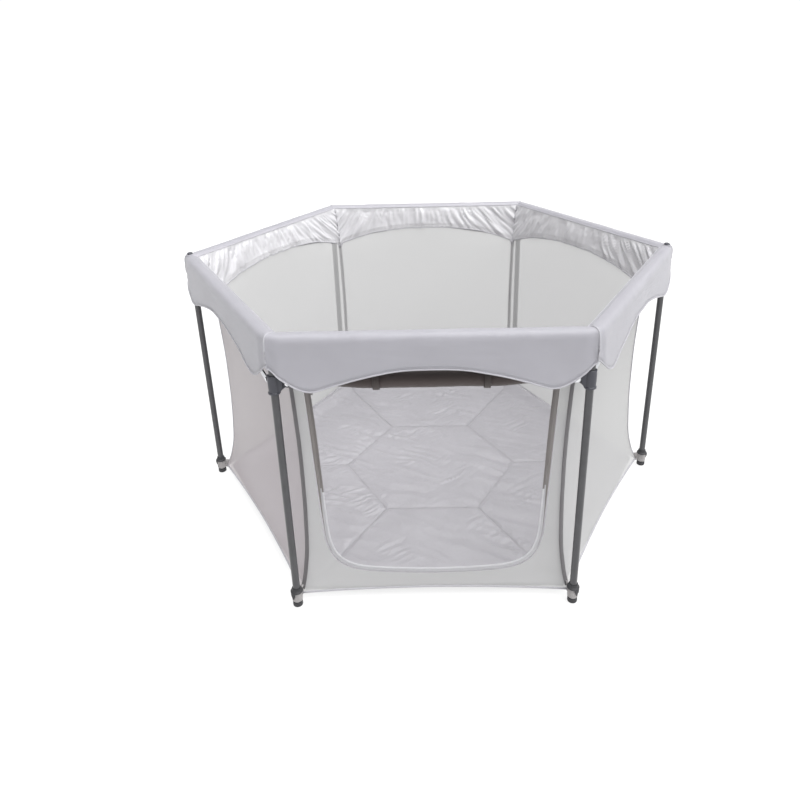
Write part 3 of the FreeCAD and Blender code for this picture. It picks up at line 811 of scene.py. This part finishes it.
line = resample(door_curve(0.0), 2.1)
line = line[(line[:, 1] < 566)]
tv, tf, tuv = [], [], []
d = np.gradient(line, axis=0)
d /= np.linalg.norm(d, axis=1, keepdims=True)
for i, (x, z) in enumerate(line):
    z = min(z, INNER_EDGE(min(abs(x), HALF)))
    y = wall_y(x, z) - 1.2
    tx, tz = d[i]
    nx, nz = tz, -tx
    base = len(tv)
    # a tooth: a small block, narrower at its tip, alternately to each side
    reach = 1.9 if i % 2 else 1.5
    for sy in (-1.15, 1.15):
        for a, b in ((-0.62, -reach), (0.62, -reach), (0.78, 1.6), (-0.78, 1.6)):
            tv.append(on_side(1, x + tx * a + nx * b, y + sy, z + tz * a + nz * b))
            tuv.append((i * 0.002, b * MM))
    tf += [tuple(base + q for q in f) for f in ((0, 1, 2, 3), (7, 6, 5, 4), (0, 4, 5, 1), (1, 5, 6, 2), (2, 6, 7, 3), (3, 7, 4, 0))]
teeth = make(
    "zip_teeth_row", tv, tf, TEETH, "leg_1_body", uv=tuv, flat=True, mats=[FACING],
    face_mat=[1 if min(tv[q][2] for q in f) > (0.27 + 0.02 * n3(f[0], 1.0)) else 0 for f in tf],
)

ROLL_Y, ROLL_Z = 31.0, 553.0


def roll_radius(x):
    return table_roll(abs(x))


table_roll = table([(0, 20), (60, 20), (135, 20), (185, 16), (225, 11), (228, 10)], 4)
turns = 7.0
cols, rows = 90, 260
rv, ruv = np.zeros((rows, cols, 3)), np.zeros((rows, cols, 2))
for j in range(cols):
    x = -227.5 + 455 * j / (cols - 1)
    r1 = roll_radius(x) - 0.9
    sag = 2.2 * n3(x / 130, 3.3) + 0.8 * n3(x / 40, 8.1)
    for i in range(rows):
        v = i / (rows - 1)
        a = 2 * math.pi * turns * v + 0.35 + 0.5 * n3(x / 160, 1.9)
        r = 3.0 + (r1 - 3.0) * math.sqrt(v) if False else 2.6 + (r1 - 2.6) * v
        r += v * (0.5 * n3(x / 26, a / 3.0, 4.4) + 0.9 * n3(x / 70 + a / 9, a / 2.2, 2.0))
        # a sling of cloth: flatter above, hanging fuller below
        yy, zz = r * math.cos(a) * 1.04, r * math.sin(a)
        zz *= 0.96 if zz > 0 else 1.02
        rv[i, j] = (x + 0.8 * n3(a, x / 30), ROLL_Y + yy, ROLL_Z + zz + 0.6 * sag)
        ruv[i, j] = (x * MM, v * 0.5)
roll = make("rolled_door", [on_side(1, *p) for p in rv.reshape(-1, 3)], grid_faces(rows, cols), ROLL, "leg_1_body", uv=ruv.reshape(-1, 2))
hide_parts("door_roll")
print("roll", round(area_of(roll), 4))

for n, x0 in enumerate((-111.0, 111.0), 1):
    r = roll_radius(x0) + 1.2
    w = 6.5
    line = []
    for a in np.linspace(math.radians(96), math.radians(96 + 348), 46):
        line.append((x0, ROLL_Y + r * math.cos(a) * 1.04, ROLL_Z + r * math.sin(a)))
    top = line[0]
    line = [(x0, 29.0, 592), (x0, 29.0, 584)] + line
    p = np.array(line)
    tdir = np.gradient(p, axis=0)
    tdir /= np.linalg.norm(tdir, axis=1, keepdims=True)
    side_n = np.cross(tdir, (1, 0, 0))
    verts, uv = [], []
    along = np.r_[0, np.cumsum(np.linalg.norm(np.diff(p, axis=0), axis=1))]
    ring = [(-w, -0.5), (-w * 0.5, -0.7), (0, -0.75), (w * 0.5, -0.7), (w, -0.5), (w, 0.5), (w * 0.5, 0.7), (0, 0.75), (-w * 0.5, 0.7), (-w, 0.5)]
    for i in range(len(p)):
        for u, h in ring:
            q = p[i] + np.array((1, 0, 0)) * u + side_n[i] * h
            verts.append(on_side(1, *q))
            uv.append((along[i] * MM, u * MM))
    faces = grid_faces(len(p), len(ring), wrap=True)
    faces.append(tuple(range(len(ring)))[::-1])
    faces.append(tuple((len(p) - 1) * len(ring) + i for i in range(len(ring))))
    tie = make("roll_tie_%d" % n, verts, faces, TIE, "leg_1_body", uv=uv)
    if n == 1:
        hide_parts("roll_ties")
    crush(tie)
for piece in (tape, facing, teeth, roll):
    crush(piece)

# ------------------------------------------------------------------ quilted floor mat, six sectors

SEAM_Y = APOTHEM - 0.395 * SIDE * C30  # the middle hexagon's seam, from the side line
PIVOT_Y = 38.0


def mat_height(k, x, y):
    """Height of the mat's top over a side's own x and y, the same on both sides of every seam."""
    m, t, n = side_axes(k)
    w = m + t * x + n * y
    # to the corner planes, and to the middle hexagon's seam
    corner = ((HALF - abs(x)) - y * T30) * C30
    in_hex = y > SEAM_Y
    to_hex = abs(y - SEAM_Y)
    if in_hex:
        near_corner = math.hypot(max(0, corner), max(0.0, y - SEAM_Y))
        d_radial = near_corner if corner < 60 else 99
    else:
        d_radial = corner
    d = min(to_hex, d_radial)
    base = 15.2
    puff = 2.4 * (1 - math.exp(-d / 20.0))
    groove = -2.4 * bell(d, 2.8)
    pucker = 0.9 * n3(w.x / 11, w.y / 11, 2.0) * math.exp(-d / 20.0)
    # long soft creases, all over, leaning one way
    c = w.x * 0.42 + w.y * 0.9
    e = w.x * 0.9 - w.y * 0.42
    crease = 1 - abs(2.0 * n3(c / 34 + 0.4 * n3(e / 90, c / 90), e / 150, 7.7))
    c2 = w.x * -0.62 + w.y * 0.78
    crease2 = 1 - abs(2.0 * n3(c2 / 19 + 0.5 * n3(c / 60, c2 / 60), c / 80, 3.7))
    soft = 2.6 * n3(w.x / 95, w.y / 95, 4.0) + 4.4 * (crease - 0.5) * (0.4 + 0.6 * step(-0.2, 0.4, n3(w.x / 130, w.y / 130, 9.0)))
    cross = 0.9 * n3(w.x / 22, w.y / 40, 1.0) + 2.6 * (crease2 - 0.5) * step(-0.1, 0.5, n3(w.x / 110, w.y / 110, 5.0))
    return base + (puff + soft + cross) * step(0, 12, d) * 1.0 + groove + pucker, d


def mat_sector(k):
    rows, cols = 84, 92
    ys = np.r_[np.linspace(28, 76, 12), np.linspace(76, APOTHEM - 0.6, rows - 11)[1:]]
    # a row on the hexagon's seam
    ys[np.abs(ys - SEAM_Y).argmin()] = SEAM_Y
    top = np.zeros((rows, cols, 3))
    seam = np.zeros((rows, cols))
    for i, y in enumerate(ys):
        w = HALF - y * T30
        for j in range(cols):
            f = 2 * j / (cols - 1) - 1
            f = math.copysign(abs(f) ** 0.86, f)
            x = f * w
            z, d = mat_height(k, x, y)
            # the edge turns up to the hem of the wall
            lift = step(86, 30, y)
            z += 15.0 * lift - 6.5 * step(44, 27, y)
            top[i, j] = (x, y, z)
            seam[i, j] = d
    under = top.copy()
    under[..., 2] = np.minimum(top[..., 2] - 7.0, 4.0 + 15.0 * np.vectorize(lambda y: step(86, 30, y))(top[..., 1]))
    under[..., 2] = np.maximum(under[..., 2], 3.2)
    pts = np.concatenate([top.reshape(-1, 3), under.reshape(-1, 3)])
    m = rows * cols
    faces = grid_faces(rows, cols) + grid_faces(rows, cols, first=m, flip=True)
    n_top = (rows - 1) * (cols - 1)
    ring = [j for j in range(cols)] + [i * cols + cols - 1 for i in range(1, rows)] + [(rows - 1) * cols + j for j in range(cols - 2, -1, -1)] + [i * cols for i in range(rows - 2, 0, -1)]
    for a, b in zip(ring, ring[1:] + ring[:1]):
        faces.append((a, m + a, m + b, b))
    face_mat = [0] * n_top + [1] * (len(faces) - n_top)
    w = np.array([on_side(k, *p) for p in pts])
    o = make(
        "floor_pad_%d" % k, w, faces, MAT, "mat_%d" % k,
        uv=w[:, :2], seam=np.concatenate([seam.ravel(), np.full(m, 9.0)]), mats=[MAT_UNDER], face_mat=face_mat,
    )
    # shading normals come from the height itself, so the sewn sectors read as one cloth
    me = o.data
    h = 2.0
    normals = []
    _, t, nn = side_axes(k)
    for p in top.reshape(-1, 3):
        x, y, z = p
        def hz(x, y):
            lift = step(86, 30, y)
            return mat_height(k, x, y)[0] + 15.0 * lift - 6.5 * step(44, 27, y)
        gx = (hz(x + h, y) - hz(x - h, y)) / (2 * h)
        gy = (hz(x, y + h) - hz(x, y - h)) / (2 * h)
        v = (Vector((0, 0, 1)) - t * gx - nn * gy).normalized()
        normals.append(tuple(v))
    me.update()
    custom = [(0.0, 0.0, 0.0)] * len(me.vertices)
    custom[:m] = normals
    me.normals_split_custom_set_from_vertices(custom)
    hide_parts("floor_%d" % k)
    crush(o)
    return o


for k in range(1, 7):
    mat_sector(k)

# ------------------------------------------------------------------ corner details


def sleeve(k):
    """The fabric loop round the leg, which the wall's corner is sewn to."""
    profile = [
        (8.4, 15.0), (10.4, 14.4), (11.5, 15.6), (12.0, 19.0), (12.1, 26.0), (11.8, 33.0),
        (11.3, 37.6), (10.2, 38.8), (9.0, 38.6), (8.4, 37.0), (8.35, 26.0),
    ]

    def bend(r, z, a):
        if r > 10:
            r += 0.22 * math.sin(5 * a + z / 3.0) + 0.2 * n3(math.cos(a) * 2, z / 6, k * 1.0) - 0.1
        return r, z

    o = lathe("leg_sleeve_%d" % k, smooth_closed(profile, 3), lambda x, y, z: at_corner(k, x, y, z), WEBBING, "leg_%d_body" % k, sides=44, bend=bend)
    # the gusset from the loop to the corner of the wall
    verts, uv = [], []
    rows, cols = 12, 8
    for i in range(rows):
        v = i / (rows - 1)
        z = 17 + 22 * v
        r1 = CORNER_IN(max(24, z)) / C30
        for j in range(cols):
            t = j / (cols - 1)
            r = 11.2 + (r1 - 11.2) * t
            wide = 1.9 * (1 - t) + 0.9
            verts.append((r, wide * (1 + 0.2 * math.sin(6 * t + z)), z - 3 * t * (1 - v)))
    m = len(verts)
    verts += [(r, -w, z) for r, w, z in verts]
    w = [at_corner(k, -r, s, z) for r, s, z in verts]
    faces = grid_faces(rows, cols) + grid_faces(rows, cols, first=m, flip=True)
    ring = [j for j in range(cols)] + [i * cols + cols - 1 for i in range(1, rows)] + [(rows - 1) * cols + j for j in range(cols - 2, -1, -1)] + [i * cols for i in range(rows - 2, 0, -1)]
    for a, b in zip(ring, ring[1:] + ring[:1]):
        faces.append((a, m + a, m + b, b))
    g = make("sleeve_gusset_%d" % k, w, faces, WEBBING, "leg_%d_body" % k)


def smooth_closed(points, per):
    n = len(points)
    ext = [points[-1]] + list(points) + [points[0], points[1]]
    out = []
    for i in range(1, n + 1):
        p0, p1, p2, p3 = ext[i - 1], ext[i], ext[i + 1], ext[i + 2]
        for j in range(per):
            t = j / per
            out.append(
                tuple(
                    0.5 * (2 * b + (c - a) * t + (2 * a - 5 * b + 4 * c - d) * t * t + (3 * b - a - 3 * c + d) * t**3)
                    for a, b, c, d in zip(p0, p1, p2, p3)
                )
            )
    return out


for k in range(1, 7):
    sleeve(k)


def hub_cap(k):
    """The dark top of the hub, which stands a little proud of the cover through an opening in its corner."""
    profile = [(0.02, 664.0), (8.4, 664.0), (9.2, 667.0), (9.3, 670.6), (8.7, 672.6), (7.0, 673.9), (4.0, 674.5), (0.02, 674.7)]
    o = lathe("hub_cap_%d" % k, profile, lambda x, y, z: at_corner(k, x * 0.78, y * 1.12, z), PLASTIC, "leg_%d_body" % k, sides=36)
    ring = [at_corner(k, 8.0 * math.cos(a), 11.4 * math.sin(a), 669.6 + 0.35 * math.sin(3 * a)) for a in np.linspace(0, 2 * math.pi, 40)]
    lip = tube("hub_opening_%d" % k, ring, 1.3 * MM, SEAM, "leg_%d_body" % k, sides=8)


for k in (3, 6):
    hub_cap(k)

# ------------------------------------------------------------------ CAD pieces that stay: their finishes


def finish_node(name, mat, rivets=()):
    """Gives a CAD node its material, and its rivets (points on their axes, in metres) a brighter one."""
    o = frame["nodes"][name]
    o.data.materials.clear()
    o.data.materials.append(mat)
    if rivets:
        o.data.materials.append(RIVET)
        for p in o.data.polygons:
            c = p.center
            for q, axis in rivets:
                v = c - q
                along = v.dot(axis)
                if (v - axis * along).length < 5.2 * MM and abs(along) > 2.56 * MM:
                    p.material_index = 1
    for p in o.data.polygons:
        p.use_smooth = True
    mod = o.modifiers.new("edges", "EDGE_SPLIT") if False else None
    return o


for k in range(1, 7):
    finish_node("leg_%d" % k, PAINT)
    finish_node("foot_%d" % k, RUBBER)
    before = k - 1 or 6
    for kind, level in (("hub", TOP_PIVOT), ("slider", LOW_PIVOT)):
        on = (Vector(on_side(k, -HALF + EAR, 0, level)), side_axes(k)[2])
        back = (Vector(on_side(before, HALF - EAR, 0, level)), side_axes(before)[2])
        finish_node("%s_%d" % (kind, k), PLASTIC, [on, back])
    middle = (Vector(on_side(k, 0, 0, (TOP_PIVOT + LOW_PIVOT) / 2)), side_axes(k)[2])
    finish_node("bar_a_%d" % k, STEEL, [middle])
    finish_node("bar_b_%d" % k, STEEL)
ZIP_METAL = hard("zip_metal", (0.20, 0.19, 0.19), 0.45, metal=0.7)
finish_node("zip_slider", ZIP_METAL)
finish_node("zip_pull", ZIP_METAL)

for o in frame["nodes"].values():
    if not o.hide_render:
        # keeps flat faces flat and round ones round, without moving any vertex
        o.data.polygons.foreach_set("use_smooth", [True] * len(o.data.polygons))
        o.data.set_sharp_from_angle(angle=math.radians(32))

# ------------------------------------------------------------------ stage, light and camera

SKY, KEY = 0.42, 1.60

fl = bpy.data.meshes.new("studio_floor")
fl.from_pydata([(-14, -14, 0), (14, -14, 0), (14, 14, 0), (-14, 14, 0)], [], [(0, 1, 2, 3)])
floor = bpy.data.objects.new("studio_floor", fl)
bpy.context.scene.collection.objects.link(floor)
fm, ft, fb = base_material("studio_paper", (0.22, 0.22, 0.22), 0.9, spec=0.1)
fb.inputs["Emission Color"].default_value = (1, 1, 1, 1)
fb.inputs["Emission Strength"].default_value = 0.77
fl.materials.append(fm)

world = bpy.data.worlds.new("studio")
bpy.context.scene.world = world
world.use_nodes = True
wt = world.node_tree
gen = wt.nodes.new("ShaderNodeTexCoord").outputs["Generated"]
sep = wt.nodes.new("ShaderNodeSeparateXYZ")
wt.links.new(gen, sep.inputs[0])
dome = wt.nodes.new("ShaderNodeValToRGB")
dome.color_ramp.elements[0].position = 0.0
dome.color_ramp.elements[0].color = (*[SKY * 0.62] * 3, 1)
dome.color_ramp.elements[1].position = 1.0
dome.color_ramp.elements[1].color = (*[SKY * 1.38] * 3, 1)
wt.links.new(math_node(wt, "ADD", math_node(wt, "MULTIPLY", sep.outputs[0], 0.5), 0.5), dome.inputs[0])
sky = wt.nodes.new("ShaderNodeValToRGB")
sky.color_ramp.elements[0].position = 0.10
sky.color_ramp.elements[0].color = (0, 0, 0, 1)
sky.color_ramp.elements[1].position = 0.28
sky.color_ramp.elements[1].color = (1, 1, 1, 1)
wt.links.new(sep.outputs[2], sky.inputs[0])
blend = wt.nodes.new("ShaderNodeMix")
blend.data_type = "RGBA"
wt.links.new(sky.outputs[0], blend.inputs[0])
blend.inputs[6].default_value = (1.05, 1.05, 1.05, 1)
wt.links.new(dome.outputs[0], blend.inputs[7])
wt.links.new(blend.outputs[2], wt.nodes["Background"].inputs[0])
wt.nodes["Background"].inputs[1].default_value = 1.0

sun_data = bpy.data.lights.new("key", "SUN")
sun_data.energy = KEY * math.pi
sun_data.angle = math.radians(80)
sun = bpy.data.objects.new("key", sun_data)
sun.rotation_euler = (-Vector((0.27, -0.12, 0.95))).to_track_quat("-Z", "Y").to_euler()
bpy.context.scene.collection.objects.link(sun)

R = SIDE * MM
cam_data = bpy.data.cameras.new("camera")
cam = bpy.data.objects.new("camera", cam_data)
bpy.context.scene.collection.objects.link(cam)
bpy.context.scene.camera = cam
FOCAL, PX, PY = 702.0, 415.0, 330.0
pitch, roll_a, yaw = math.radians(22.92), math.radians(-1.36), math.radians(0.75)
spin = Matrix.Rotation(yaw, 3, "Z")
fwd = spin @ Vector((0, math.cos(pitch), -math.sin(pitch)))
up = spin @ Vector((0, math.sin(pitch), math.cos(pitch)))
right = spin @ Vector((1, 0, 0))
r2 = right * math.cos(roll_a) + up * math.sin(roll_a)
u2 = -right * math.sin(roll_a) + up * math.cos(roll_a)
rot = Matrix((r2, u2, -fwd)).transposed().to_4x4()
cam.matrix_world = Matrix.Translation(Vector((-0.023, -2.842, 1.917)) * R) @ rot
cam_data.sensor_fit = "HORIZONTAL"
cam_data.sensor_width = 36.0
cam_data.lens = FOCAL / 800 * 36.0
cam_data.shift_x = (400 - PX) / 800
cam_data.shift_y = (PY - 400) / 800
cam_data.clip_start = 0.05
cam_data.clip_end = 60

view = bpy.context.scene.view_settings
view.view_transform = "Standard"
view.look = "None"
view.exposure = 0.0
view.gamma = 1.0

bpy.context.view_layer.update()
